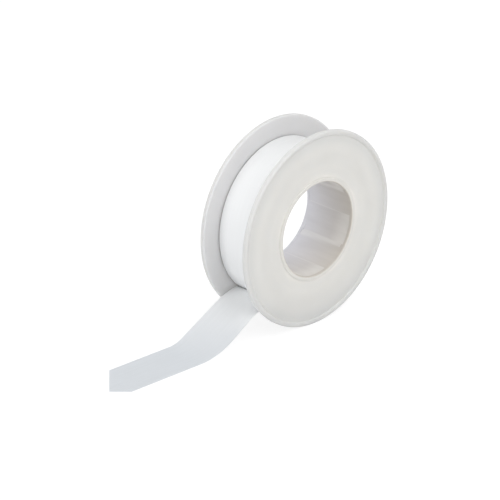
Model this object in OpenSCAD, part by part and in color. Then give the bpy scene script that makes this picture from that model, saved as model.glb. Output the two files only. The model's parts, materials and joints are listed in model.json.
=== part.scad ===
// Roll of thread seal tape on a flanged spool, standing on its rims.
// The spool lies along Y with its front towards -Y, and the tape is pulled out towards -X.
// The origin is the centre of the bore, halfway between the two flanges.

/* [Tape] */
// Width of the tape
tape_w = 12; // [6:0.5:25]
// Thickness of one layer of tape
tape_t = 0.1; // [0.075:0.025:0.3]
// Depth of the tape wound on the hub, from the hub to the outside of the roll
winding_depth = 6.2; // [2:0.1:8]

/* [Pulled-out end] */
// Angle below the horizontal at which the tape leaves the roll
peel_angle = 58.5; // [45:0.5:75]
// Angle from there to the start of the outer turn, which lies under the pulled-out tape
tuck_angle = 14; // [8:1:30]
// Radius of the hump where the tape springs away from the roll
crest_r = 6.9; // [5:0.1:14]
// Slope of the tape on its way down
descent_angle = 27; // [20:0.5:40]
// Radius of the bend where the tape comes down to the surface
landing_r = 12; // [5:0.5:18]
// Length of tape that lies flat, from the bend to the tip
flat_run = 27.5; // [15:0.5:120]
// Distance of the cut tip from the middle of the tape, towards the front
tip_side = 2.5; // [0:0.1:2.8]
// Angle of the snip on the back side of the tip, from a square cut
back_snip_angle = 43; // [0:1:60]
// Angle of the snip on the front side of the tip, from a square cut
front_snip_angle = 48; // [0:1:60]

/* [Flanges] */
// Diameter of the flanges
flange_d = 50; // [45:0.5:70]
// Thickness of a flange between its rim and its bore lip
web_t = 0.8; // [0.6:0.1:2]
// Width of the raised rim
rim_w = 1.5; // [1:0.1:3]
// Height of the rim above the face of the flange
rim_h = 0.55; // [0.3:0.05:1]
// Rounding of the rim's outer edges
rim_round = 0.3; // [0.1:0.05:0.6]
// Room between the tape's edge and a flange
tape_side_gap = 0.45; // [0.2:0.05:1]

/* [Hub] */
// Diameter of the bore
bore_d = 24.2; // [16:0.1:28]
// Thickness of the hub's wall
hub_wall = 1.5; // [1:0.1:3]
// Width of the raised lip around the bore
lip_w = 1; // [0.6:0.1:2]
// Height of the lip above the face of the flange
lip_h = 0.25; // [0.2:0.05:0.7]
// Rounding of the bore's edge
lip_round = 0.2; // [0.1:0.02:0.3]
// Hub fingers on each half of the spool
finger_count = 5; // [3:1:8]
// Angle of the first tapered seam in the bore, above the horizontal towards +X
seam_angle = -35.5; // [-180:0.5:180]
// Depth of the tapered relief along a front finger, at the finger's tip
relief_depth = 0.34; // [0.1:0.02:0.8]
// Width of the relief on the bore wall at the finger's tip
relief_tip_w = 1.7; // [0.6:0.1:3]
// Width of the relief on the bore wall at the finger's root
relief_root_w = 1; // [0.4:0.1:3]

/* [Fits] */
// Gap between the flanks of neighbouring fingers
flank_gap = 0.1; // [0.05:0.01:0.3]
// Depth of the sockets that take the tips of the other half's fingers
socket_depth = 0.4; // [0.2:0.05:0.5]
// Gap around a finger's tip in its socket
socket_gap = 0.1; // [0.05:0.01:0.15]
// Gap between the hub and the innermost layer of tape
hub_gap = 0.05; // [0.02:0.01:0.2]
// Gap between the outer turn and the layers under it
turn_gap = 0.15; // [0.1:0.01:0.4]

/* [Hidden] */
$fn = 96;

spool_colour = "#e0dfdc";
wound_colour = "#eef0f2";
lead_colour = "#dfe4e8";

flange_r = flange_d / 2;
bore_r = bore_d / 2;
hub_r = bore_r + hub_wall;
wound_r = hub_r + winding_depth;
core_r = wound_r - tape_t - turn_gap;

groove_half = tape_w / 2 + tape_side_gap;
face_y = groove_half + web_t;
rim_y = face_y + rim_h;
lip_y = face_y + lip_h;
socket_y = groove_half + socket_depth;
finger_reach = socket_y - socket_gap;

finger_pitch = 180 / finger_count;
flank_gap_angle = flank_gap / bore_r * 180 / PI;
slot_angle = finger_pitch + flank_gap_angle;
finger_length = finger_reach + groove_half;
relief_tip_span = relief_tip_w / bore_r * 180 / PI;
relief_root_span = relief_root_w / bore_r * 180 / PI;
relief_rise = relief_depth + bore_r * (1 - cos(relief_tip_span));
relief_slope = atan(relief_rise / (bore_r * sin(relief_tip_span)));
relief_root_depth = bore_r * (cos(relief_root_span) + sin(relief_root_span) * tan(relief_slope) - 1);
relief_taper = atan((relief_depth - relief_root_depth) / finger_length);
// How far cutting shapes stand clear of what they cut
cut_margin = 1;

arc_step = 15;
turn_step = 5;
path_step = 3;

// Points of an arc about a centre, from one angle to another, in steps no longer than the given one
function arc(centre, r, from, to, step) =
    let (count = max(1, ceil(abs(to - from) / step)))
    [for (i = [0 : count]) let (a = from + (to - from) * i / count) centre + r * [cos(a), sin(a)]];

// Section of one half: x is the distance from the axis, y the distance towards its own flange
rim_inner_r = flange_r - rim_w;
lip_outer_r = bore_r + lip_w;
half_section = concat(
    [[bore_r, -finger_reach], [hub_r, -finger_reach], [hub_r, groove_half]],
    arc([flange_r - rim_round, groove_half + rim_round], rim_round, -90, 0, arc_step),
    arc([flange_r - rim_round, rim_y - rim_round], rim_round, 0, 90, arc_step),
    arc([rim_inner_r + rim_h, face_y], rim_h, 90, 180, arc_step),
    arc([lip_outer_r - lip_h, face_y], lip_h, 0, 90, arc_step),
    arc([bore_r + lip_round, lip_y - lip_round], lip_round, 90, 180, arc_step)
);

// Middle line of the outer turn and the pulled-out end, seen from the front with the pull to the right:
// round the roll, off it over a hump, down a slope, through a bend and flat along the surface
turn_r = wound_r - tape_t / 2;
floor_z = -flange_r + tape_t / 2;
turn_start = tuck_angle - peel_angle - 360;
crest_centre = (turn_r + crest_r) * [cos(peel_angle), -sin(peel_angle)];
crest_end = crest_centre + crest_r * [sin(descent_angle), cos(descent_angle)];
landing_start_z = floor_z + landing_r * (1 - cos(descent_angle));
landing_start_x = crest_end.x + (crest_end.y - landing_start_z) / tan(descent_angle);
landing_end_x = landing_start_x + landing_r * sin(descent_angle);
tip_x = landing_end_x + flat_run;
tape_path = concat(
    arc([0, 0], turn_r, turn_start, -peel_angle, turn_step),
    skip_first(arc(crest_centre, crest_r, 180 - peel_angle, 90 - descent_angle, path_step)),
    arc([landing_end_x, floor_z + landing_r], landing_r, -90 - descent_angle, -90, path_step),
    [[tip_x + cut_margin, floor_z]]
);

function skip_first(list) = [for (i = [1 : len(list) - 1]) list[i]];
function unit(v) = v / norm(v);
function along(path, i) = unit(path[min(i + 1, len(path) - 1)] - path[max(i - 1, 0)]);
function beside(path, i, distance) = path[i] + distance * [-along(path, i).y, along(path, i).x];
function strip_outline(path, thickness) = concat(
    [for (i = [0 : len(path) - 1]) beside(path, i, thickness / 2)],
    [for (i = [len(path) - 1 : -1 : 0]) beside(path, i, -thickness / 2)]
);
function step_length(path, i) = i < len(path) - 1 ? norm(path[i + 1] - path[i]) : 0;

// Least gap of the tape to itself, between points more than a quarter turn apart along it
last = len(tape_path) - 1;
run = [for (i = 0, s = 0; i <= last; s = s + step_length(tape_path, i), i = i + 1) s];
quarter_turn = turn_r * PI / 2;
self_gap = min([for (i = [0 : last], j = [i : last])
    if (run[j] - run[i] > quarter_turn) norm(tape_path[i] - tape_path[j])]) - tape_t;
lead_length = run[last] - cut_margin;
wound_length = PI * (pow(wound_r, 2) - pow(hub_r, 2)) / tape_t;
echo(least_gap_of_the_tape_to_itself_mm = self_gap);
echo(outer_turn_and_pulled_out_end_mm = lead_length, tape_on_the_roll_mm = wound_length);

// Lays a shape that was drawn about Z along Y, its top towards the front
module on_axle() {
    rotate([90, 0, 0]) children();
}

// Sector of the hub's wall that the other half's finger fills, from its tip to its socket
module finger_slot() {
    rotate_extrude(angle = slot_angle)
        translate([bore_r - cut_margin, -finger_reach - cut_margin])
            square([hub_wall + cut_margin + socket_gap, finger_reach + cut_margin + socket_y]);
}

// Half of a spool with its flange at the top and the flank of one finger at angle zero
module spool_half() {
    difference() {
        rotate_extrude() polygon(half_section);
        for (i = [0 : finger_count - 1])
            rotate(2 * finger_pitch * i - flank_gap_angle / 2) finger_slot();
    }
}

// Tapered relief along the flank of a front finger, widest at the finger's tip
module finger_relief() {
    height = finger_length + cut_margin;
    width = relief_tip_w + relief_root_w;
    translate([bore_r + relief_root_depth, 0, groove_half])
        rotate([0, -relief_taper, -relief_slope])
            translate([-cut_margin, -width, -height])
                cube([cut_margin, width + flank_gap, height]);
}

module front_spool_half() {
    color(spool_colour) on_axle() rotate(seam_angle) difference() {
        spool_half();
        for (i = [0 : finger_count - 1])
            rotate(2 * finger_pitch * i - flank_gap_angle / 2) finger_relief();
    }
}

module back_spool_half() {
    color(spool_colour) on_axle() rotate(seam_angle) rotate([180, 0, 0]) spool_half();
}

// The layers under the outer turn, as one ring on the hub
module wound_tape() {
    color(wound_colour) on_axle()
        rotate_extrude()
            translate([hub_r + hub_gap, -tape_w / 2])
                square([core_r - hub_r - hub_gap, tape_w]);
}

// Half plane that trims the end of the tape along a snip through its tip
module snip(angle) {
    reach = 4 * tape_w;
    translate([-tip_x, -tip_side, floor_z])
        rotate(angle)
            translate([-reach, -reach, -cut_margin])
                cube([reach, 2 * reach, 2 * cut_margin]);
}

// Outer turn and pulled-out end, one strip of tape
module tape_lead() {
    color(lead_colour) difference() {
        on_axle() mirror([1, 0, 0])
            linear_extrude(tape_w, center = true) polygon(strip_outline(tape_path, tape_t));
        snip(-back_snip_angle);
        snip(front_snip_angle);
    }
}

front_spool_half();
back_spool_half();
wound_tape();
tape_lead();
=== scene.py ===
# %% [markdown]
# # A roll of thread seal tape
#
# A strip of white film, 12 mm wide, is wound on a small plastic spool that stands on its rims, and its
# loose end comes off underneath and lies along the table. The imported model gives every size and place,
# so it is loaded first and never moved: each piece below is built in the same frame, in metres, and
# takes the place of one of its solids.

# %% Load the frame
import json
import math

import bmesh
import bpy
from mathutils import Matrix, Vector


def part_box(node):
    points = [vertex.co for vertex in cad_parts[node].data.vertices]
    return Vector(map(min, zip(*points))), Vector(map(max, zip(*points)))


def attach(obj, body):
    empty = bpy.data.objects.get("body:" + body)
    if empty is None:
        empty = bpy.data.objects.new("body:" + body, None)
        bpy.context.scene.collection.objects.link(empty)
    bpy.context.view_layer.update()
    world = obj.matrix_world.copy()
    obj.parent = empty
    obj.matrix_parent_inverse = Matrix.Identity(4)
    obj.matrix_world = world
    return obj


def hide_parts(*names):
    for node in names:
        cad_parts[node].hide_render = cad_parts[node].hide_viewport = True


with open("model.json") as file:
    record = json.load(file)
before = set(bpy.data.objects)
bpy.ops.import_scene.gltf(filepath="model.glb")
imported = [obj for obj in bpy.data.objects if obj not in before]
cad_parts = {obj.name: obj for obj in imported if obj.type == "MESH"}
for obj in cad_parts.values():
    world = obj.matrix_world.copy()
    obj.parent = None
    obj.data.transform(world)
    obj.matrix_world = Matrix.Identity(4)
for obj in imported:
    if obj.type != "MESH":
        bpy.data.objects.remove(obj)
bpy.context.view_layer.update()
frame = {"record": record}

MM = 0.001

# %% [markdown]
# ## Main sizes
#
# The spool's axis lies along Y with its front towards -Y. What the solids already say is read from their
# boxes, so that the pieces keep fitting if the model is packed again at another size. Only the small
# moulded details, which a box can't tell, are written as numbers.

# %% Read the main sizes from the solids
half_low, half_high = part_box("front_spool_half")
wound_low, wound_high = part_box("wound_tape")
lead_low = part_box("tape_lead")[0]
bore_mount = next(mount for mount in frame["record"]["mounts"] if mount["name"] == "bore")

flange_r = half_high.x
rim_y = -half_low.y
bore_r = bore_mount["dims"]["r_mm"] * MM
wound_r = wound_high.x
tape_w = wound_high.y - wound_low.y
tip_x = -lead_low.x
table_z = half_low.z
print("flange radius %.2f mm, bore radius %.2f mm" % (flange_r / MM, bore_r / MM))
print("tape %.2f mm wide, wound to %.2f mm" % (tape_w / MM, wound_r / MM))

# %% [markdown]
# ## Camera
#
# A long lens from far away keeps the two flanges nearly the same size. The viewpoint is given as a
# photographer would note it: the angle round the object, the height, a slight roll, and the point that
# the lens is aimed at. Turning the camera up, then round, then about its own axis gives its rotation.

# %% Place the camera
VIEW_AZIMUTH = math.radians(-46.0)
VIEW_ELEVATION = math.radians(23.02)
VIEW_ROLL = math.radians(1.8)
VIEW_DISTANCE = 784.5 * MM
VIEW_AIM = Vector((-9.630, 5.722, -6.969)) * MM
VIEW_LENS = 231.8
VIEW_SENSOR = 36.0
VIEW_NEAR = 10 * MM

camera_data = bpy.data.cameras.new("camera")
camera_data.lens = VIEW_LENS
camera_data.sensor_width = VIEW_SENSOR
camera_data.clip_start = VIEW_NEAR
camera = bpy.data.objects.new("camera", camera_data)
bpy.context.scene.collection.objects.link(camera)
facing = (
    Matrix.Rotation(VIEW_AZIMUTH, 4, "Z")
    @ Matrix.Rotation(math.pi / 2 - VIEW_ELEVATION, 4, "X")
    @ Matrix.Rotation(VIEW_ROLL, 4, "Z")
)
camera.matrix_world = Matrix.Translation(VIEW_AIM + facing.col[2].to_3d() * VIEW_DISTANCE) @ facing
bpy.context.scene.camera = camera
print("camera at", [round(value, 4) for value in camera.matrix_world.translation])

# %% [markdown]
# ## Colours and nodes
#
# Colours are written as sRGB hex, as a paint program shows them, and turned to the linear numbers that
# the renderer works in. Materials and geometry trees are both made of nodes, so one small helper adds any
# node, sets its options and links its sockets, and the trees below can be read from top to bottom.

# %% Helpers for colours and nodes
def linear(hex_colour):
    """Turns an sRGB hex colour such as "#E0DFDC" into linear RGBA."""
    parts = [int(hex_colour[i:i + 2], 16) / 255 for i in (1, 3, 5)]
    return [part / 12.92 if part <= 0.04045 else ((part + 0.055) / 1.055) ** 2.4 for part in parts] + [1]


def add_node(tree, kind, links=None, **settings):
    """Adds one node. links maps a socket's name or number to a value or to another node's socket."""
    node = tree.nodes.new(kind)
    for name, value in settings.items():
        setattr(node, name, value)
    for name, value in (links or {}).items():
        if isinstance(value, bpy.types.NodeSocket):
            tree.links.new(value, node.inputs[name])
        else:
            node.inputs[name].default_value = value
    return node


def new_material(name):
    """Starts a node material and returns it with its tree and its output node."""
    material = bpy.data.materials.new(name)
    material.use_nodes = True
    material.node_tree.nodes.clear()
    return material, material.node_tree, add_node(material.node_tree, "ShaderNodeOutputMaterial")


print("white is", linear("#FFFFFF"))

# %% [markdown]
# ## Moulded polypropylene
#
# The spool is injection-moulded in natural polypropylene, a milky plastic that lets some light into it.
# A plain white would look like chalk, so its colour changes from place to place, and much of that is
# painted light and shade. Where tape lies behind a flange the colour is lighter and warmer: painted light
# that the white tape sends back through the milky plastic. The bare ring outside the tape is greyer,
# painted shade of the groove behind it, and the rim a touch greyer still, painted shade. The sides that
# face the groove are a plain grey. The wall of the bore is darker, painted shade inside the hole, warm in
# front, and lighter and cooler towards the back, painted light that comes in from behind. It is paler
# along the seams and the relief beside them, painted highlights, and at the thin tips of the back half's
# fingers, painted light that comes through them. Light also scatters under the skin, and a satin mould
# leaves a faint grain.

# %% Colours of the spool and where they lie
# Painted shade: the wall of the bore is darker and warmer than the plastic, as shade falls in the hole.
SPOOL_HUB_SHADE = "#D1CBC2"
# Painted light: the back of the bore is lighter and cooler, as light comes in from behind.
SPOOL_HUB_LIT_FROM_BEHIND = "#DDDDE3"
SPOOL_LIP = "#DEDCD7"
# Painted light: lighter and warmer where the white tape behind sends light back through the flange.
SPOOL_OVER_TAPE = "#EEEBE4"
# Painted shade: the bare ring is greyer for the shaded groove behind it, and the rim a touch greyer still.
SPOOL_BARE = "#D5D5D3"
SPOOL_RIM = "#D0D0CF"
SPOOL_INSIDE = "#D5D5D6"
# Painted highlights along the seams and the relief, and painted light through the thin tips of the fingers.
SPOOL_PAINTED_LIGHT = "#FBFAF7"
# The distance from the axle at which each colour is reached, from the wall of the bore out to the rim.
SPOOL_RAMP = [
    (bore_r + 0.1 * MM, SPOOL_HUB_SHADE),
    (bore_r + 0.3 * MM, SPOOL_LIP),
    (bore_r + 1.0 * MM, SPOOL_LIP),
    (bore_r + 1.4 * MM, SPOOL_OVER_TAPE),
    (wound_r - 3.5 * MM, SPOOL_OVER_TAPE),
    (wound_r + 3.0 * MM, SPOOL_BARE),
    (flange_r - 1.4 * MM, SPOOL_BARE),
    (flange_r - 1.0 * MM, SPOOL_RIM),
]
# Stretches over which one look goes over into another: from the axle, and from the spool's middle.
INTO_BORE = (bore_r + 0.4 * MM, bore_r + 0.1 * MM)
PAST_HUB = (bore_r + 1.6 * MM, bore_r + 2.2 * MM)
INTO_GROOVE = (rim_y - 0.95 * MM, rim_y - 1.25 * MM)

# Natural polypropylene, satin moulded: milky and slightly warm, with soft broad highlights.
polypropylene, tree, output = new_material("moulded_natural_polypropylene")
coordinates = add_node(tree, "ShaderNodeTexCoord")
place = add_node(tree, "ShaderNodeSeparateXYZ", {0: coordinates.outputs["Object"]})
across = add_node(tree, "ShaderNodeCombineXYZ", {"X": place.outputs["X"], "Z": place.outputs["Z"]})
from_axle = add_node(tree, "ShaderNodeVectorMath", {0: across.outputs[0]}, operation="LENGTH")
from_middle = add_node(tree, "ShaderNodeMath", {0: place.outputs["Y"]}, operation="ABSOLUTE")
in_bore = add_node(tree, "ShaderNodeMapRange", {
    "Value": from_axle.outputs["Value"],
    "From Min": INTO_BORE[0],
    "From Max": INTO_BORE[1],
})
towards_back = add_node(tree, "ShaderNodeMapRange", {
    "Value": place.outputs["Y"],
    "From Min": -rim_y,
    "From Max": rim_y,
    "To Max": in_bore.outputs["Result"],
})
past_hub = add_node(tree, "ShaderNodeMapRange", {
    "Value": from_axle.outputs["Value"],
    "From Min": PAST_HUB[0],
    "From Max": PAST_HUB[1],
})
in_groove = add_node(tree, "ShaderNodeMapRange", {
    "Value": from_middle.outputs[0],
    "From Min": INTO_GROOVE[0],
    "From Max": INTO_GROOVE[1],
    "To Max": past_hub.outputs["Result"],
})
print("spool colours:", len(SPOOL_RAMP), "places from the bore to the rim")

# %% Mix the spool's colour
FLOW_PATCH = 9 * MM
STREAK_W, STREAK_L = 1.4 * MM, 9 * MM
STREAK_DEPTH = 0.16
TIP_START, TIP_END = 0.6, 0.92
# Painted light: how pale the thin tips of the back fingers are made, as light comes through them.
TIP_PAINTED_LIGHT = 0.38
# Most of a noise lies between the first two values. It changes the tone between the other two.
NOISE_LOW, NOISE_HIGH = 0.3, 0.7
TONE_LOW, TONE_HIGH = 0.985, 1.01

reach = add_node(tree, "ShaderNodeMath", {
    0: from_axle.outputs["Value"],
    1: 1 / flange_r,
}, operation="MULTIPLY")
# The ramp paints light through the flange over the tape, and shade on the bare ring, the rim and the bore.
body_colour = add_node(tree, "ShaderNodeValToRGB", {0: reach.outputs[0]})
stops = body_colour.color_ramp.elements
stops.remove(stops[1])
stops[0].position = SPOOL_RAMP[0][0] / flange_r
stops[0].color = linear(SPOOL_RAMP[0][1])
for distance, colour in SPOOL_RAMP[1:]:
    stops.new(distance / flange_r).color = linear(colour)
side_colour = add_node(tree, "ShaderNodeMix", {
    "Factor": in_groove.outputs["Result"],
    6: body_colour.outputs[0],
    7: linear(SPOOL_INSIDE),
}, data_type="RGBA")
# Painted light from behind: the wall of the bore goes lighter and cooler towards the back.
hub_colour = add_node(tree, "ShaderNodeMix", {
    "Factor": towards_back.outputs["Result"],
    6: side_colour.outputs[2],
    7: linear(SPOOL_HUB_LIT_FROM_BEHIND),
}, data_type="RGBA")
# Painted highlights along the seams and the relief, and painted light at the finger tips, are mixed in
# here.
painted_seam_light = add_node(tree, "ShaderNodeAttribute", attribute_name="painted_seam_highlight")
tip = add_node(tree, "ShaderNodeAttribute", attribute_name="finger_tip")
tip_pale = add_node(tree, "ShaderNodeMapRange", {
    "Value": tip.outputs["Fac"],
    "From Min": TIP_START,
    "From Max": TIP_END,
    "To Max": TIP_PAINTED_LIGHT,
}, interpolation_type="SMOOTHSTEP")
whitened = add_node(tree, "ShaderNodeMath", {
    0: painted_seam_light.outputs["Fac"],
    1: tip_pale.outputs["Result"],
}, operation="MAXIMUM")
painted_light_colour = add_node(tree, "ShaderNodeMix", {
    "Factor": whitened.outputs[0],
    6: hub_colour.outputs[2],
    7: linear(SPOOL_PAINTED_LIGHT),
}, data_type="RGBA")
flow = add_node(tree, "ShaderNodeTexNoise", {
    "Vector": coordinates.outputs["Object"],
    "Scale": 1 / FLOW_PATCH,
    "Detail": 3.0,
})
flow_tone = add_node(tree, "ShaderNodeMapRange", {
    "Value": flow.outputs[0],
    "From Min": NOISE_LOW,
    "From Max": NOISE_HIGH,
    "To Min": TONE_LOW,
    "To Max": TONE_HIGH,
})
drawn = add_node(tree, "ShaderNodeMapping", {
    "Vector": coordinates.outputs["Object"],
    "Scale": (1 / STREAK_W, 1 / STREAK_L, 1 / STREAK_W),
})
streaks = add_node(tree, "ShaderNodeTexNoise", {"Vector": drawn.outputs[0], "Scale": 1.0, "Detail": 3.0})
streak_centred = add_node(tree, "ShaderNodeMath", {0: streaks.outputs[0], 1: 0.5}, operation="SUBTRACT")
streak_depth = add_node(tree, "ShaderNodeMath", {
    0: in_bore.outputs["Result"],
    1: STREAK_DEPTH,
}, operation="MULTIPLY")
streak_tone = add_node(tree, "ShaderNodeMath", {
    0: streak_centred.outputs[0],
    1: streak_depth.outputs[0],
    2: flow_tone.outputs["Result"],
}, operation="MULTIPLY_ADD")
spool_colour = add_node(tree, "ShaderNodeVectorMath", {
    0: painted_light_colour.outputs[2],
    "Scale": streak_tone.outputs[0],
}, operation="SCALE")
print("colour nodes:", len(tree.nodes))

# %% Finish of the spool
SPOOL_ROUGHNESS, ROUGHNESS_SPREAD = 0.5, 0.05
SPOOL_IOR = 1.49
MOULD_GRAIN = 0.45 * MM
GRAIN_BUMP = 0.12
BUMP_HEIGHT = 0.02 * MM
INTO_FLANGE = (bore_r + 0.9 * MM, bore_r + 2.0 * MM)
ONTO_RIM = (flange_r - 2.2 * MM, flange_r - 1.4 * MM)
FLANGE_SCATTER, RIM_SCATTER = 0.8, 0.9
# How many millimetres red, green and blue light go under the skin.
SCATTER_DEPTH = (2.6, 2.5, 2.35)

grain = add_node(tree, "ShaderNodeTexNoise", {
    "Vector": coordinates.outputs["Object"],
    "Scale": 1 / MOULD_GRAIN,
    "Detail": 2.0,
})
grain_bump = add_node(tree, "ShaderNodeBump", {
    "Height": grain.outputs[0],
    "Strength": GRAIN_BUMP,
    "Distance": BUMP_HEIGHT,
})
gloss = add_node(tree, "ShaderNodeMapRange", {
    "Value": grain.outputs[0],
    "To Min": SPOOL_ROUGHNESS - ROUGHNESS_SPREAD,
    "To Max": SPOOL_ROUGHNESS + ROUGHNESS_SPREAD,
})
scatter = add_node(tree, "ShaderNodeMapRange", {
    "Value": from_axle.outputs["Value"],
    "From Min": ONTO_RIM[0],
    "From Max": ONTO_RIM[1],
    "To Min": FLANGE_SCATTER,
    "To Max": RIM_SCATTER,
})
# The walls of the bore lie on each other at the seams, so light is kept near the skin there.
outside_bore = add_node(tree, "ShaderNodeMapRange", {
    "Value": from_axle.outputs["Value"],
    "From Min": INTO_FLANGE[0],
    "From Max": INTO_FLANGE[1],
    "To Max": scatter.outputs["Result"],
})
plastic = add_node(tree, "ShaderNodeBsdfPrincipled", {
    "Base Color": spool_colour.outputs[0],
    "Roughness": gloss.outputs["Result"],
    "IOR": SPOOL_IOR,
    "Subsurface Weight": outside_bore.outputs["Result"],
    "Subsurface Radius": SCATTER_DEPTH,
    "Subsurface Scale": MM,
    "Normal": grain_bump.outputs[0],
})
tree.links.new(plastic.outputs[0], output.inputs["Surface"])
print("material:", polypropylene.name)

# %% [markdown]
# ## Film
#
# The tape is unsintered PTFE film: soft, very white where many layers lie on each other, and greyer and
# cooler where a single layer is pulled out and light goes through it. It is drawn out lengthwise when it
# is made, so the faint lines in it run along the tape. The strip carries its own map, with the distance
# along the tape and across it in metres, so that the lines follow every bend. An attribute on the strip
# says how far it is on its own, and mixes the two tones.

# %% Material of the tape
FILM_WOUND = "#F8F9F9"
FILM_SINGLE = "#E7E9EB"
FILM_ROUGHNESS = 0.55
FILM_IOR = 1.36
FILM_SCATTER, FILM_SCATTER_DEPTH = 0.15, 0.4 * MM
FILM_THROUGH, THROUGH_RISE = 0.75, 2.0
# The tone changes over this part of the way from the roll to the place where the strip lies flat.
PARTS_START, PARTS_END = 0.3, 0.75
# Real draw lines are finer than this; they are drawn as wide as they need to be to show.
DRAW_LINE = 0.35 * MM
DRAW_LINE_LENGTH = 14 * MM
LINE_BUMP = 0.15

# PTFE film, drawn: matt and silky white with a soft sheen along the roll.
film, tree, output = new_material("drawn_ptfe_film")
run_map = add_node(tree, "ShaderNodeUVMap", uv_map="tape_run")
stretch = add_node(tree, "ShaderNodeMapping", {
    "Vector": run_map.outputs[0],
    "Scale": (1 / DRAW_LINE_LENGTH, 1 / DRAW_LINE, 1),
})
lines = add_node(tree, "ShaderNodeTexNoise", {
    "Vector": stretch.outputs[0],
    "Scale": 1.0,
    "Detail": 2.0,
})
single = add_node(tree, "ShaderNodeAttribute", attribute_name="single_layer")
parted = add_node(tree, "ShaderNodeMapRange", {
    "Value": single.outputs["Fac"],
    "From Min": PARTS_START,
    "From Max": PARTS_END,
}, interpolation_type="SMOOTHSTEP")
tone = add_node(tree, "ShaderNodeMix", {
    "Factor": parted.outputs["Result"],
    6: linear(FILM_WOUND),
    7: linear(FILM_SINGLE),
}, data_type="RGBA")
line_tone = add_node(tree, "ShaderNodeMapRange", {
    "Value": lines.outputs[0],
    "From Min": NOISE_LOW,
    "From Max": NOISE_HIGH,
    "To Min": TONE_LOW,
    "To Max": TONE_HIGH,
})
film_colour = add_node(tree, "ShaderNodeVectorMath", {
    0: tone.outputs[2],
    "Scale": line_tone.outputs["Result"],
}, operation="SCALE")
line_bump = add_node(tree, "ShaderNodeBump", {
    "Height": lines.outputs[0],
    "Strength": LINE_BUMP,
    "Distance": BUMP_HEIGHT,
})
film_shader = add_node(tree, "ShaderNodeBsdfPrincipled", {
    "Base Color": film_colour.outputs[0],
    "Roughness": FILM_ROUGHNESS,
    "IOR": FILM_IOR,
    "Subsurface Weight": FILM_SCATTER,
    "Subsurface Radius": (1.0, 1.0, 1.0),
    "Subsurface Scale": FILM_SCATTER_DEPTH,
    "Normal": line_bump.outputs[0],
})
through = add_node(tree, "ShaderNodeBsdfTranslucent", {"Color": film_colour.outputs[0]})
lying = add_node(tree, "ShaderNodeMath", {
    0: single.outputs["Fac"],
    1: THROUGH_RISE,
}, operation="POWER")
through_share = add_node(tree, "ShaderNodeMath", {
    0: lying.outputs[0],
    1: FILM_THROUGH,
}, operation="MULTIPLY")
film_mix = add_node(tree, "ShaderNodeMixShader", {
    0: through_share.outputs[0],
    1: film_shader.outputs[0],
    2: through.outputs[0],
})
tree.links.new(film_mix.outputs[0], output.inputs["Surface"])
print("material:", film.name)

# %% [markdown]
# ## Section of a spool half
#
# Each half of the spool is a flange with a raised, rounded rim and a small lip round the bore. Turned
# round the axle, one section gives the whole flange, so it is drawn as a closed line first: x is the
# distance from the bore's wall and y the distance along the axle, away from the spool's middle.

# %% Draw the section
WEB_T = 0.95 * MM
RIM_W = 1.15 * MM
RIM_H = 0.4 * MM
RIM_ROUND = 0.3 * MM
RIM_TOP_ROUND = 0.5 * MM
RIM_FOOT = 0.12 * MM
RIM_LEAN = 0.6
LIP_W = 1.0 * MM
LIP_H = 0.25 * MM
LIP_ROUND = 0.2 * MM
HUB_WALL = 1.5 * MM
SOCKET_GAP = 0.05 * MM
ARC_STEPS = 8

face_y = rim_y - RIM_H
groove_y = face_y - WEB_T
hub_r = bore_r + HUB_WALL


def arc(centre_r, centre_y, radius, start, end):
    """Points of an arc in the section, from one angle to another in degrees."""
    angles = [math.radians(start + (end - start) * i / ARC_STEPS) for i in range(ARC_STEPS + 1)]
    return [(centre_r + radius * math.cos(a), centre_y + radius * math.sin(a)) for a in angles]


rim_mid_r = flange_r - RIM_ROUND
rim_top_r = flange_r - RIM_TOP_ROUND
rim_wall_r = flange_r - RIM_W
rim_bead = RIM_H - RIM_FOOT
rim_flank = (
    arc(rim_wall_r + rim_bead, rim_y - rim_bead, rim_bead, 90, 180)
    + arc(rim_wall_r - RIM_FOOT, face_y + RIM_FOOT, RIM_FOOT, 0, -90)
    + [(rim_wall_r - 2 * RIM_FOOT, face_y)]
)
lip_foot_r = bore_r + LIP_W - LIP_H
section = (
    [(bore_r, groove_y), (hub_r, groove_y), (hub_r + SOCKET_GAP, groove_y)]
    + arc(rim_mid_r, groove_y + RIM_ROUND, RIM_ROUND, -90, 0)
    + arc(rim_top_r, rim_y - RIM_TOP_ROUND, RIM_TOP_ROUND, 0, 90)
    + [(r - RIM_LEAN * (rim_y - y), y) for r, y in rim_flank]
    + arc(lip_foot_r, face_y, LIP_H, 0, 90)
    + arc(bore_r + LIP_ROUND, face_y + LIP_H - LIP_ROUND, LIP_ROUND, 90, 180)
)
section_mesh = bpy.data.meshes.new("half_section")
section_mesh.from_pydata(
    [(r - bore_r, -y, 0) for r, y in section],
    [(i, (i + 1) % len(section)) for i in range(len(section))],
    [],
)
print("section:", len(section), "points")

# %% [markdown]
# ## Geometry Nodes for a spool half
#
# Five fingers stand on each flange and reach between the fingers of the other half, and together they are
# the hub. They could be cut with booleans, but those leave ragged triangles. Here one tree does it by a
# rule: it turns the section round a circle, asks each face for its angle, pushes the faces of the ring
# that belong to a finger down to the finger's length, and lifts the ring between them into a socket for
# the other half's finger tips. At last it notes for the material how near each point is to a seam and to
# a finger's tip, and moves the wall of the bore outwards along one flank of each finger.

# %% Helpers that start a tree and turn its result into a plain mesh
def start_tree(name, sockets):
    """Starts a geometry tree with named inputs. Returns the tree, its input sockets and its output node."""
    group = bpy.data.node_groups.new(name, "GeometryNodeTree")
    group.interface.new_socket("Geometry", in_out="OUTPUT", socket_type="NodeSocketGeometry")
    for label, kind in sockets.items():
        group.interface.new_socket(label, in_out="INPUT", socket_type="NodeSocket" + kind)
    return group, add_node(group, "NodeGroupInput").outputs, add_node(group, "NodeGroupOutput")


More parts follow.
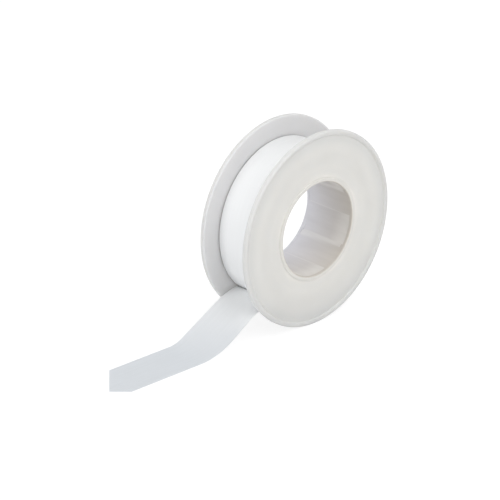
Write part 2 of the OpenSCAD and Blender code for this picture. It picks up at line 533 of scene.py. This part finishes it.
def run_tree(group, start_mesh, values):
    """Runs a tree on a mesh, with its inputs set by identifier, and returns the plain mesh it makes."""
    maker = bpy.data.objects.new(group.name, start_mesh)
    bpy.context.scene.collection.objects.link(maker)
    modifier = maker.modifiers.new(group.name, "NODES")
    modifier.node_group = group
    for item in group.interface.items_tree:
        if item.in_out == "INPUT" and item.name in values:
            modifier[item.identifier] = values[item.name]
    made = bpy.data.meshes.new_from_object(maker.evaluated_get(bpy.context.evaluated_depsgraph_get()))
    bpy.data.objects.remove(maker)
    return made


# %% Turn the section and find each point's place round the axle
spool_tree, given, spool_output = start_tree("spool_half", {
    "Section": "Geometry",
    "Columns": "Int",
    "Bore Radius": "Float",
    "Hub Radius": "Float",
    "Groove Side": "Float",
    "Finger Count": "Float",
    "Finger Share": "Float",
    "Finger Length": "Float",
    "Socket Depth": "Float",
    "Seam Angle": "Float",
    "Relief Depth": "Float",
    "Relief Root Depth": "Float",
    "Relief Angle": "Float",
    "Relief Root Angle": "Float",
    "Seam Painted Highlight": "Float",
    "Relief Painted Highlight": "Float",
    "Pale Tips": "Float",
    "Material": "Material",
})
SKIN = 0.02 * MM
# A hair is added to the turn so that a flank never reads as 1, and the sockets keep clear of the fingers.
TURN_HAIR = 0.0001
CLEAR_HAIR = 0.001

outline = add_node(spool_tree, "GeometryNodeMeshToCurve", {0: given["Section"]})
circle = add_node(spool_tree, "GeometryNodeCurvePrimitiveCircle", {
    "Resolution": given["Columns"],
    "Radius": given["Bore Radius"],
}, mode="RADIUS")
upright = add_node(spool_tree, "GeometryNodeSetCurveNormal", {0: circle.outputs[0]}, mode="Z_UP")
turned = add_node(spool_tree, "GeometryNodeCurveToMesh", {
    "Curve": upright.outputs[0],
    "Profile Curve": outline.outputs[0],
})
position = add_node(spool_tree, "GeometryNodeInputPosition")
axes = add_node(spool_tree, "ShaderNodeSeparateXYZ", {0: position.outputs[0]})
flat = add_node(spool_tree, "ShaderNodeCombineXYZ", {"X": axes.outputs["X"], "Y": axes.outputs["Y"]})
radius = add_node(spool_tree, "ShaderNodeVectorMath", {0: flat.outputs[0]}, operation="LENGTH")
outward = add_node(spool_tree, "ShaderNodeVectorMath", {0: flat.outputs[0]}, operation="NORMALIZE")
angle = add_node(spool_tree, "ShaderNodeMath", {
    0: axes.outputs["Y"],
    1: axes.outputs["X"],
}, operation="ARCTAN2")
pitches = add_node(spool_tree, "ShaderNodeMath", {
    0: angle.outputs[0],
    1: given["Finger Count"],
}, operation="MULTIPLY")
# The turn is counted backwards in finger pitches.
turns = add_node(spool_tree, "ShaderNodeMath", {
    0: pitches.outputs[0],
    1: -1 / math.tau,
    2: TURN_HAIR,
}, operation="MULTIPLY_ADD")
share = add_node(spool_tree, "ShaderNodeMath", {0: turns.outputs[0]}, operation="FRACT")
print("turning nodes:", len(spool_tree.nodes))

# %% Push the fingers out of the ring
below_groove = add_node(spool_tree, "ShaderNodeMath", {
    0: given["Groove Side"],
    1: axes.outputs["Z"],
}, operation="SUBTRACT")
on_ring_plane = add_node(spool_tree, "ShaderNodeMath", {
    0: below_groove.outputs[0],
    1: 0.0,
    2: SKIN,
}, operation="COMPARE")
inside_hub = add_node(spool_tree, "ShaderNodeMath", {
    0: radius.outputs["Value"],
    1: given["Hub Radius"],
}, operation="LESS_THAN")
on_ring = add_node(spool_tree, "FunctionNodeBooleanMath", {
    0: on_ring_plane.outputs[0],
    1: inside_hub.outputs[0],
}, operation="AND")
in_finger = add_node(spool_tree, "ShaderNodeMath", {
    0: share.outputs[0],
    1: given["Finger Share"],
}, operation="LESS_THAN")
finger_faces = add_node(spool_tree, "FunctionNodeBooleanMath", {
    0: on_ring.outputs[0],
    1: in_finger.outputs[0],
}, operation="AND")
# An unlinked offset would follow the face normals, so the direction comes from a node.
inwards = add_node(spool_tree, "ShaderNodeCombineXYZ", {"Z": -1.0})
root = add_node(spool_tree, "GeometryNodeExtrudeMesh", {
    "Mesh": turned.outputs[0],
    "Selection": finger_faces.outputs[0],
    "Offset": inwards.outputs[0],
    "Offset Scale": 2 * SKIN,
    "Individual": False,
})
fingers = add_node(spool_tree, "GeometryNodeExtrudeMesh", {
    "Mesh": root.outputs["Mesh"],
    "Selection": root.outputs["Top"],
    "Offset": inwards.outputs[0],
    "Offset Scale": given["Finger Length"],
    "Individual": False,
})
print("finger nodes:", len(spool_tree.nodes))

# %% Lift the sockets between the fingers
past_finger = add_node(spool_tree, "ShaderNodeMath", {
    0: share.outputs[0],
    1: given["Finger Share"],
}, operation="SUBTRACT")
clear_of_finger = add_node(spool_tree, "ShaderNodeMath", {
    0: past_finger.outputs[0],
    1: CLEAR_HAIR,
}, operation="GREATER_THAN")
hub_skin = add_node(spool_tree, "ShaderNodeMath", {0: given["Hub Radius"], 1: SKIN}, operation="ADD")
in_socket_ring = add_node(spool_tree, "ShaderNodeMath", {
    0: radius.outputs["Value"],
    1: hub_skin.outputs[0],
}, operation="LESS_THAN")
socket_sector = add_node(spool_tree, "FunctionNodeBooleanMath", {
    0: in_socket_ring.outputs[0],
    1: clear_of_finger.outputs[0],
}, operation="AND")
socket_points = add_node(spool_tree, "FunctionNodeBooleanMath", {
    0: socket_sector.outputs[0],
    1: on_ring_plane.outputs[0],
}, operation="AND")
lift = add_node(spool_tree, "ShaderNodeCombineXYZ", {"Z": given["Socket Depth"]})
sockets = add_node(spool_tree, "GeometryNodeSetPosition", {
    "Geometry": fingers.outputs["Mesh"],
    "Selection": socket_points.outputs[0],
    "Offset": lift.outputs[0],
})
print("socket nodes:", len(spool_tree.nodes))

# %% Find the seams and the relief along one flank of each finger
finger_angle = add_node(spool_tree, "ShaderNodeMath", {
    0: math.tau,
    1: given["Finger Count"],
}, operation="DIVIDE")
to_flank = add_node(spool_tree, "ShaderNodeMath", {
    0: share.outputs[0],
    1: finger_angle.outputs[0],
}, operation="MULTIPLY")
to_other_flank = add_node(spool_tree, "ShaderNodeMath", {
    0: past_finger.outputs[0],
    1: finger_angle.outputs[0],
}, operation="MULTIPLY")
other_distance = add_node(spool_tree, "ShaderNodeMath", {
    0: to_other_flank.outputs[0],
}, operation="ABSOLUTE")
nearest_flank = add_node(spool_tree, "ShaderNodeMath", {
    0: to_flank.outputs[0],
    1: other_distance.outputs[0],
}, operation="MINIMUM")
seam_near = add_node(spool_tree, "ShaderNodeMapRange", {
    "Value": nearest_flank.outputs[0],
    "From Max": given["Seam Angle"],
    "To Min": 1.0,
    "To Max": 0.0,
})
relief_depth = add_node(spool_tree, "ShaderNodeMapRange", {
    "Value": below_groove.outputs[0],
    "From Max": given["Finger Length"],
    "To Min": given["Relief Root Depth"],
    "To Max": given["Relief Depth"],
})
relief_angle = add_node(spool_tree, "ShaderNodeMapRange", {
    "Value": below_groove.outputs[0],
    "From Max": given["Finger Length"],
    "To Min": given["Relief Root Angle"],
    "To Max": given["Relief Angle"],
})
relief_near = add_node(spool_tree, "ShaderNodeMapRange", {
    "Value": to_flank.outputs[0],
    "From Max": relief_angle.outputs["Result"],
    "To Min": 1.0,
    "To Max": 0.0,
})
relief = add_node(spool_tree, "ShaderNodeMath", {
    0: relief_near.outputs["Result"],
    1: relief_depth.outputs["Result"],
}, operation="MULTIPLY")
relief_offset = add_node(spool_tree, "ShaderNodeVectorMath", {
    0: outward.outputs[0],
    "Scale": relief.outputs[0],
}, operation="SCALE")
bore_skin = add_node(spool_tree, "ShaderNodeMath", {0: given["Bore Radius"], 1: SKIN}, operation="ADD")
on_bore = add_node(spool_tree, "ShaderNodeMath", {
    0: radius.outputs["Value"],
    1: bore_skin.outputs[0],
}, operation="LESS_THAN")
on_finger = add_node(spool_tree, "ShaderNodeMath", {
    0: below_groove.outputs[0],
    1: SKIN,
}, operation="GREATER_THAN")
bore_side = add_node(spool_tree, "FunctionNodeBooleanMath", {
    0: on_bore.outputs[0],
    1: on_finger.outputs[0],
}, operation="AND")
print("relief nodes:", len(spool_tree.nodes))

# %% Note the seams and the tips for the material, then make the relief
# The seams and the relief are noted for painted highlights in the material, and the tips for painted light.
seam_white = add_node(spool_tree, "ShaderNodeMath", {
    0: seam_near.outputs["Result"],
    1: given["Seam Painted Highlight"],
}, operation="MULTIPLY")
relief_white = add_node(spool_tree, "ShaderNodeMath", {
    0: relief_near.outputs["Result"],
    1: given["Relief Painted Highlight"],
}, operation="MINIMUM")
white = add_node(spool_tree, "ShaderNodeMath", {
    0: seam_white.outputs[0],
    1: relief_white.outputs[0],
}, operation="MAXIMUM")
white_on_bore = add_node(spool_tree, "ShaderNodeMath", {
    0: white.outputs[0],
    1: bore_side.outputs[0],
}, operation="MULTIPLY")
noted = add_node(spool_tree, "GeometryNodeStoreNamedAttribute", {
    "Geometry": sockets.outputs[0],
    "Name": "painted_seam_highlight",
    "Value": white_on_bore.outputs[0],
}, data_type="FLOAT", domain="POINT")
tip_share = add_node(spool_tree, "ShaderNodeMapRange", {
    "Value": below_groove.outputs[0],
    "From Max": given["Finger Length"],
    "To Max": given["Pale Tips"],
})
tipped = add_node(spool_tree, "GeometryNodeStoreNamedAttribute", {
    "Geometry": noted.outputs[0],
    "Name": "finger_tip",
    "Value": tip_share.outputs["Result"],
}, data_type="FLOAT", domain="POINT")
relieved = add_node(spool_tree, "GeometryNodeSetPosition", {
    "Geometry": tipped.outputs[0],
    "Selection": bore_side.outputs[0],
    "Offset": relief_offset.outputs[0],
})
realized = add_node(spool_tree, "GeometryNodeRealizeInstances", {0: relieved.outputs[0]})
finished = add_node(spool_tree, "GeometryNodeSetMaterial", {
    "Geometry": realized.outputs[0],
    "Material": given["Material"],
})
spool_tree.links.new(finished.outputs[0], spool_output.inputs[0])
print("spool tree:", len(spool_tree.nodes), "nodes")

# %% [markdown]
# ## The two halves
#
# Both halves come from the same tree with other values. The front half's fingers have a tapered relief
# along one flank, widest and deepest at the tip, with a painted highlight on it. The back half's are
# slightly dished there, with painted highlights along the seams and painted light at the pale tips, and
# that half is turned over so that its fingers fill the gaps in the front one. Each is made about Z and
# then turned onto the axle in its mesh, so that the finished object itself stays unturned at the origin.

# %% Sizes of the halves
FINGER_COUNT = 5
COLUMNS_PER_FINGER = 144
FINGER_COLUMNS = 72
FIRST_SEAM = math.radians(-35.5)
SOCKET_DEPTH = 0.4 * MM
SEAM_WIDTH = 0.35 * MM
RELIEF_DEEP, RELIEF_SHALLOW = 0.14 * MM, 0.09 * MM
RELIEF_WIDTH = 1.7 * MM
RELIEF_ROOT_WIDTH = 1.0 * MM
DISH_WIDTH = 3.0 * MM
# How strong the painted highlights along the seams and on the relief are.
SEAM_PAINTED_HIGHLIGHT = 0.3
RELIEF_PAINTED_HIGHLIGHT = 0.35

half_values = {
    "Columns": COLUMNS_PER_FINGER * FINGER_COUNT,
    "Bore Radius": bore_r,
    "Hub Radius": hub_r,
    "Groove Side": groove_y,
    "Finger Count": float(FINGER_COUNT),
    "Finger Share": FINGER_COLUMNS / COLUMNS_PER_FINGER,
    "Finger Length": 2 * groove_y + SOCKET_DEPTH - SOCKET_GAP - 2 * SKIN,
    "Socket Depth": SOCKET_DEPTH,
    "Seam Angle": SEAM_WIDTH / bore_r,
    "Material": polypropylene,
}
front_values = {
    "Relief Depth": RELIEF_DEEP,
    "Relief Root Depth": RELIEF_SHALLOW,
    "Relief Angle": RELIEF_WIDTH / bore_r,
    "Relief Root Angle": RELIEF_ROOT_WIDTH / bore_r,
    "Seam Painted Highlight": 0.0,
    "Relief Painted Highlight": RELIEF_PAINTED_HIGHLIGHT,
    "Pale Tips": 0.0,
}
back_values = {
    "Relief Depth": RELIEF_SHALLOW,
    "Relief Root Depth": RELIEF_DEEP,
    "Relief Angle": DISH_WIDTH / bore_r,
    "Relief Root Angle": DISH_WIDTH / bore_r,
    "Seam Painted Highlight": SEAM_PAINTED_HIGHLIGHT,
    "Relief Painted Highlight": 0.0,
    "Pale Tips": 1.0,
}
print("fingers:", FINGER_COUNT, "on each half")

# %% Make the halves
CRISP_ANGLE = math.radians(38)
MERGE_DISTANCE = 1e-7


def plain_piece(name, mesh, place):
    """Makes a finished object of a mesh: placed, merged, facing outwards, smooth with crisp corners."""
    mesh.transform(place)
    shape = bmesh.new()
    shape.from_mesh(mesh)
    bmesh.ops.remove_doubles(shape, verts=shape.verts, dist=MERGE_DISTANCE)
    bmesh.ops.recalc_face_normals(shape, faces=shape.faces)
    open_edges = sum(1 for edge in shape.edges if len(edge.link_faces) != 2)
    shape.to_mesh(mesh)
    shape.free()
    mesh.shade_smooth()
    mesh.set_sharp_from_angle(angle=CRISP_ANGLE)
    mesh.name = name
    piece = bpy.data.objects.new(name, mesh)
    bpy.context.scene.collection.objects.link(piece)
    print(name, len(mesh.polygons), "faces,", open_edges, "open edges")
    return piece


on_axle = Matrix.Rotation(math.pi / 2, 4, "X") @ Matrix.Rotation(FIRST_SEAM, 4, "Z")
turned_over = Matrix.Rotation(math.pi, 4, "X")
front_mesh = run_tree(spool_tree, section_mesh, {**half_values, **front_values})
front_half = plain_piece("front_half_moulding", front_mesh, on_axle)
back_mesh = run_tree(spool_tree, section_mesh, {**half_values, **back_values})
back_half = plain_piece("back_half_moulding", back_mesh, on_axle @ turned_over)
for half, node in ((front_half, "front_spool_half"), (back_half, "back_spool_half")):
    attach(half, "spool")
    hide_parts(node)

# %% [markdown]
# ## Wound layers
#
# Under the outer turn lie many more, and their edges show as fine rings when you look down between the
# flanges. A ring with a bumpy side would do from afar. A real spiral is no harder: Blender has a spiral
# curve, and sweeping a narrow rectangle along it winds the tape. Each layer wanders a little sideways, as
# tape does when a machine winds it, and the number of turns is kept to what the eye can part.

# %% Tree that winds the layers
WANDER_LENGTH = 45 * MM

wind_tree, given, wind_output = start_tree("wound_layers", {
    "Start": "Geometry",
    "Inner Radius": "Float",
    "Outer Radius": "Float",
    "Turns": "Float",
    "Points Per Turn": "Int",
    "Layer Thickness": "Float",
    "Tape Width": "Float",
    "Wander": "Float",
    "Seed": "Float",
    "Material": "Material",
})
spiral = add_node(wind_tree, "GeometryNodeCurveSpiral", {
    "Resolution": given["Points Per Turn"],
    "Rotations": given["Turns"],
    "Start Radius": given["Inner Radius"],
    "End Radius": given["Outer Radius"],
    "Height": 0.0,
    "Reverse": True,
})
along_spiral = add_node(wind_tree, "GeometryNodeSplineParameter")
wander_place = add_node(wind_tree, "ShaderNodeMath", {
    0: along_spiral.outputs["Length"],
    1: 1 / WANDER_LENGTH,
    2: given["Seed"],
}, operation="MULTIPLY_ADD")
wander_noise = add_node(wind_tree, "ShaderNodeTexNoise", {
    "W": wander_place.outputs[0],
    "Scale": 1.0,
    "Detail": 1.0,
}, noise_dimensions="1D")
wander_centred = add_node(wind_tree, "ShaderNodeMath", {
    0: wander_noise.outputs[0],
    1: 0.5,
}, operation="SUBTRACT")
wander_by = add_node(wind_tree, "ShaderNodeMath", {
    0: wander_centred.outputs[0],
    1: given["Wander"],
}, operation="MULTIPLY")
wander_offset = add_node(wind_tree, "ShaderNodeCombineXYZ", {"Z": wander_by.outputs[0]})
wandering = add_node(wind_tree, "GeometryNodeSetPosition", {
    "Geometry": spiral.outputs[0],
    "Offset": wander_offset.outputs[0],
})
upright = add_node(wind_tree, "GeometryNodeSetCurveNormal", {0: wandering.outputs[0]}, mode="Z_UP")
tape_section = add_node(wind_tree, "GeometryNodeCurvePrimitiveQuadrilateral", {
    "Width": given["Layer Thickness"],
    "Height": given["Tape Width"],
}, mode="RECTANGLE")
measured = add_node(wind_tree, "GeometryNodeCaptureAttribute", {"Geometry": upright.outputs[0]})
measured.capture_items.new("FLOAT", "Length")
wind_tree.links.new(along_spiral.outputs["Length"], measured.inputs["Length"])
wound = add_node(wind_tree, "GeometryNodeCurveToMesh", {
    "Curve": measured.outputs[0],
    "Profile Curve": tape_section.outputs[0],
    "Fill Caps": True,
})
spot = add_node(wind_tree, "GeometryNodeInputPosition")
spot_axes = add_node(wind_tree, "ShaderNodeSeparateXYZ", {0: spot.outputs[0]})
run_and_side = add_node(wind_tree, "ShaderNodeCombineXYZ", {
    "X": measured.outputs["Length"],
    "Y": spot_axes.outputs["Z"],
})
mapped = add_node(wind_tree, "GeometryNodeStoreNamedAttribute", {
    "Geometry": wound.outputs[0],
    "Name": "tape_run",
    "Value": run_and_side.outputs[0],
}, data_type="FLOAT2", domain="CORNER")
realized = add_node(wind_tree, "GeometryNodeRealizeInstances", {0: mapped.outputs[0]})
finished = add_node(wind_tree, "GeometryNodeSetMaterial", {
    "Geometry": realized.outputs[0],
    "Material": given["Material"],
})
wind_tree.links.new(finished.outputs[0], wind_output.inputs[0])
print("winding tree:", len(wind_tree.nodes), "nodes")

# %% Wind the layers
LAYER_TURNS = 24
LAYER_FILL = 0.86
POINTS_PER_TURN = 90
HUB_GAP = 0.05 * MM
EDGE_TRIM = 0.1 * MM
WANDER = 0.25 * MM
WANDER_SEED = 7.0

layer_pitch = (wound_r - hub_r - HUB_GAP) / LAYER_TURNS
layer_t = layer_pitch * LAYER_FILL
wound_mesh = run_tree(wind_tree, bpy.data.meshes.new("winding_start"), {
    "Inner Radius": hub_r + HUB_GAP + layer_t / 2,
    "Outer Radius": wound_r - layer_t / 2,
    "Turns": float(LAYER_TURNS),
    "Points Per Turn": POINTS_PER_TURN,
    "Layer Thickness": layer_t,
    "Tape Width": tape_w - EDGE_TRIM,
    "Wander": WANDER,
    "Seed": WANDER_SEED,
    "Material": film,
})
print("map on the layers:", [layer.name for layer in wound_mesh.uv_layers])
wound_layers = plain_piece("wound_layers", wound_mesh, Matrix.Rotation(math.pi / 2, 4, "X"))
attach(wound_layers, "spool")
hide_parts("wound_tape")

# %% [markdown]
# ## Outer turn and pulled-out end
#
# The last turn and the loose end are one strip. It starts a little way under itself, goes round the roll,
# leaves it underneath, springs up over a small hump, slopes down and lies flat. The film is so thin that
# it bends as it likes: the back edge meets the table in a sharp fold, the front edge in a long soft curve.
# So the strip is laid line by line across its width, each line with its own slope and bend between those
# of the two edges, and each made of arcs and straights as a plan draughtsman would. Solidify then gives
# the film its thickness.

# %% Lines of the strip
TAPE_T = 0.1 * MM
TURN_GAP = 0.15 * MM
PEEL_ANGLE = math.radians(52.4)
LAP_ANGLE = math.radians(30)
LAP_LOOSE, LOOSE = 0.4 * MM, 0.55 * MM
LOOSE_SPAN = math.radians(70)
CREST_EASE = math.radians(7)
FRONT_EDGE = {
    "crest_r": 1.3 * MM,
    "ease_r": 19 * MM,
    "descent": math.radians(31.5),
    "landing_r": 21 * MM,
}
BACK_EDGE = {
    "crest_r": 2.0 * MM,
    "ease_r": 20.5 * MM,
    "descent": math.radians(28.2),
    "landing_r": 9 * MM,
}
TIP_SIDE = 2.5 * MM
BACK_SNIP = math.radians(43)
FRONT_SNIP = math.radians(48)
TURN_STEPS, ARC_COUNT, RUN_STEPS, ACROSS_STEPS = 195, 24, 40, 24

turn_r = wound_r + TURN_GAP + TAPE_T / 2
flat_z = table_z + TAPE_T / 2


def sweep(centre, radius, start, end, count):
    """Points of an arc, without its first, from one angle to another."""
    angles = [start + (end - start) * (i + 1) / count for i in range(count)]
    return [centre + radius * Vector((math.cos(a), math.sin(a))) for a in angles]


def straight(start, end, count):
    """Points of a straight stretch, without its first."""
    return [start.lerp(end, (i + 1) / count) for i in range(count)]


def ease_in(share):
    """Goes smoothly from 0 to 1 as the share does, and stays there outside that range."""
    share = min(1.0, max(0.0, share))
    return share * share * (3 - 2 * share)


def turn_point(share):
    """A point of the outer turn, from its start at 0 to where it leaves the roll, loosened, at 1."""
    turned = share * (math.tau + LAP_ANGLE)
    left = (1 - share) * (math.tau + LAP_ANGLE)
    lap_share = ease_in(turned / LAP_ANGLE) * ease_in(1 - (turned - LAP_ANGLE) / LOOSE_SPAN)
    radius = turn_r + LAP_LOOSE * lap_share + LOOSE * ease_in(1 - left / LOOSE_SPAN)
    return radius * Vector((math.cos(-PEEL_ANGLE - left), math.sin(-PEEL_ANGLE - left)))


def strip_line(across):
    """One line along the strip, with the pull to the right; across is 0 in front and 1 at the back."""
    crest_r = FRONT_EDGE["crest_r"] * (1 - across) + BACK_EDGE["crest_r"] * across
    ease_r = FRONT_EDGE["ease_r"] ** (1 - across) * BACK_EDGE["ease_r"] ** across
    landing_r = FRONT_EDGE["landing_r"] ** (1 - across) * BACK_EDGE["landing_r"] ** across
    descent = FRONT_EDGE["descent"] * (1 - across) + BACK_EDGE["descent"] * across
    points = [turn_point(i / TURN_STEPS) for i in range(TURN_STEPS + 1)]
    crest = (turn_r + LOOSE + crest_r) * Vector((math.cos(PEEL_ANGLE), -math.sin(PEEL_ANGLE)))
    points += sweep(crest, crest_r, math.pi - PEEL_ANGLE, math.pi / 2 - CREST_EASE, ARC_COUNT)
    ease = points[-1] - ease_r * Vector((math.sin(CREST_EASE), math.cos(CREST_EASE)))
    points += sweep(ease, ease_r, math.pi / 2 - CREST_EASE, math.pi / 2 - descent, ARC_COUNT)
    bend_z = flat_z + landing_r * (1 - math.cos(descent))
    bend_x = points[-1].x + (points[-1].y - bend_z) / math.tan(descent)
    points += straight(points[-1], Vector((bend_x, bend_z)), ARC_COUNT)
    landing = Vector((bend_x + landing_r * math.sin(descent), flat_z + landing_r))
    points += sweep(landing, landing_r, -math.pi / 2 - descent, -math.pi / 2, ARC_COUNT)
    side = (across - 0.5) * tape_w + TIP_SIDE
    end_x = tip_x - abs(side) * math.tan(BACK_SNIP if side > 0 else FRONT_SNIP)
    return points + straight(points[-1], Vector((end_x, flat_z)), RUN_STEPS)


crossings = [i / ACROSS_STEPS for i in range(ACROSS_STEPS + 1)]
lines_along = [strip_line(across) for across in crossings]
runs = []
for line in lines_along:
    run = [0.0]
    for before, after in zip(line, line[1:]):
        run.append(run[-1] + (after - before).length)
    runs.append(run)
points_along = len(lines_along[0])

# %% Make the strip
ROLL_SHIFT = 0.2 * MM
# Points along a line at which it leaves the roll, starts its last bend and lies flat.
peel_index = TURN_STEPS
bend_index = peel_index + 3 * ARC_COUNT
flat_index = peel_index + 4 * ARC_COUNT


def side_shift(i):
    """How far the roll's tape sits towards the back flange; the loose end comes back to the middle."""
    return ROLL_SHIFT * (1 - ease_in((i - peel_index) / (bend_index - peel_index)))


strip_mesh = bpy.data.meshes.new("tape_strip")
strip_mesh.from_pydata(
    [
        (-p.x, (across - 0.5) * tape_w + side_shift(i), p.y)
        for across, line in zip(crossings, lines_along)
        for i, p in enumerate(line)
    ],
    [],
    [
        (row + i, row + i + 1, row + points_along + i + 1, row + points_along + i)
        for row in range(0, ACROSS_STEPS * points_along, points_along)
        for i in range(points_along - 1)
    ],
)
run_layer = strip_mesh.uv_layers.new(name="tape_run")
for loop in strip_mesh.loops:
    j, i = divmod(loop.vertex_index, points_along)
    run_layer.data[loop.index].uv = (runs[j][i], crossings[j] * tape_w)
alone = strip_mesh.attributes.new("single_layer", "FLOAT", "POINT")
for index in range(len(strip_mesh.vertices)):
    i = index % points_along
    alone.data[index].value = min(1.0, max(0.0, (i - peel_index) / (flat_index - peel_index)))
strip_mesh.materials.append(film)
film_maker = bpy.data.objects.new("film_maker", strip_mesh)
bpy.context.scene.collection.objects.link(film_maker)
thicken = film_maker.modifiers.new("film_thickness", "SOLIDIFY")
thicken.thickness = TAPE_T
thicken.offset = 0
film_mesh = bpy.data.meshes.new_from_object(
    film_maker.evaluated_get(bpy.context.evaluated_depsgraph_get())
)
bpy.data.objects.remove(film_maker)
tape_strip = plain_piece("tape_strip", film_mesh, Matrix.Identity(4))
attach(tape_strip, "tape")
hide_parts("tape_lead")

# %% [markdown]
# ## Floor and light
#
# The roll stands on a plain pale floor in a bright white studio. The camera sees the floor a little
# brighter than the light alone would make it, through the light path of the ray, so that it comes out
# white while the soft shadow under the roll stays. The object itself is lit at a plain level: an even
# world, a lamp low on the left that shines through the milky rims, one in front and one high in front for
# the face and the bore, and two weak ones over and behind the roll that reach down between the flanges.

# %% Floor
FLOOR_SIZE = 6.0
FLOOR_DROP = 0.03 * MM
FLOOR_COLOUR = "#EAEAEA"
SEEN_GREY = 0.22
SEEN_LIFT = 0.86
WHITE = linear("#FFFFFF")


def seen_directly(tree):
    """Adds the nodes that tell whether a ray shows its surface to the camera, straight or mirrored."""
    ray = add_node(tree, "ShaderNodeLightPath")
    seen = ray.outputs["Is Camera Ray"]
    for way in ("Is Glossy Ray", "Is Transmission Ray"):
        either = add_node(tree, "ShaderNodeMath", {0: seen, 1: ray.outputs[way]}, operation="MAXIMUM")
        seen = either.outputs[0]
    return seen


# Matt studio board: even and pale, with no gloss of its own.
board, tree, output = new_material("matt_studio_board")
plain_board = add_node(tree, "ShaderNodeBsdfDiffuse", {"Color": linear(FLOOR_COLOUR)})
shadow_board = add_node(tree, "ShaderNodeBsdfDiffuse", {"Color": (SEEN_GREY, SEEN_GREY, SEEN_GREY, 1)})
lifted = add_node(tree, "ShaderNodeEmission", {"Color": WHITE, "Strength": SEEN_LIFT})
seen_board = add_node(tree, "ShaderNodeAddShader", {0: shadow_board.outputs[0], 1: lifted.outputs[0]})
board_mix = add_node(tree, "ShaderNodeMixShader", {
    0: seen_directly(tree),
    1: plain_board.outputs[0],
    2: seen_board.outputs[0],
})
tree.links.new(board_mix.outputs[0], output.inputs["Surface"])

half_floor = FLOOR_SIZE / 2
floor_z = table_z - FLOOR_DROP
floor_mesh = bpy.data.meshes.new("floor")
floor_mesh.from_pydata(
    [(x * half_floor, y * half_floor, floor_z) for x, y in ((-1, -1), (1, -1), (1, 1), (-1, 1))],
    [],
    [(0, 1, 2, 3)],
)
floor_mesh.materials.append(board)
floor = bpy.data.objects.new("floor", floor_mesh)
bpy.context.scene.collection.objects.link(floor)
print("floor at %.2f mm" % (floor_z / MM))

# %% Light
WORLD_STRENGTH = 0.51
LAMPS = {
    "key_left": {"place": (-0.73, 0.17, 0.2), "size": 0.4, "watts": 1.55, "tint": "#FAFCFF"},
    "fill_front": {"place": (-0.02, -0.6, 0.22), "size": 0.4, "watts": 0.9, "tint": "#FFFFFF"},
    "fill_above": {"place": (-0.1, -0.5, 0.75), "size": 0.5, "watts": 2.2, "tint": "#FFFFFF"},
    "fill_top": {"place": (-0.4, -0.06, 0.7), "size": 0.4, "watts": 0.6, "tint": "#FFFFFF"},
    "back_above": {"place": (0.15, 0.55, 0.5), "size": 0.4, "watts": 0.45, "tint": "#FFFFFF"},
}

world = bpy.data.worlds.new("studio")
world.use_nodes = True
world.node_tree.nodes.clear()
sky = world.node_tree
lighting = add_node(sky, "ShaderNodeBackground", {"Color": WHITE, "Strength": WORLD_STRENGTH})
backdrop = add_node(sky, "ShaderNodeBackground", {"Color": WHITE, "Strength": 1.0})
sky_mix = add_node(sky, "ShaderNodeMixShader", {
    0: seen_directly(sky),
    1: lighting.outputs[0],
    2: backdrop.outputs[0],
})
add_node(sky, "ShaderNodeOutputWorld", {"Surface": sky_mix.outputs[0]})
bpy.context.scene.world = world

for name, lamp in LAMPS.items():
    lamp_data = bpy.data.lights.new(name, "AREA")
    lamp_data.shape = "SQUARE"
    lamp_data.size = lamp["size"]
    lamp_data.energy = lamp["watts"]
    lamp_data.color = linear(lamp["tint"])[:3]
    lamp_object = bpy.data.objects.new(name, lamp_data)
    bpy.context.scene.collection.objects.link(lamp_object)
    lamp_object.location = lamp["place"]
    lamp_object.rotation_euler = Vector(lamp["place"]).to_track_quat("Z", "Y").to_euler()
bpy.context.scene.view_settings.view_transform = "Standard"
print("lamps:", list(LAMPS))
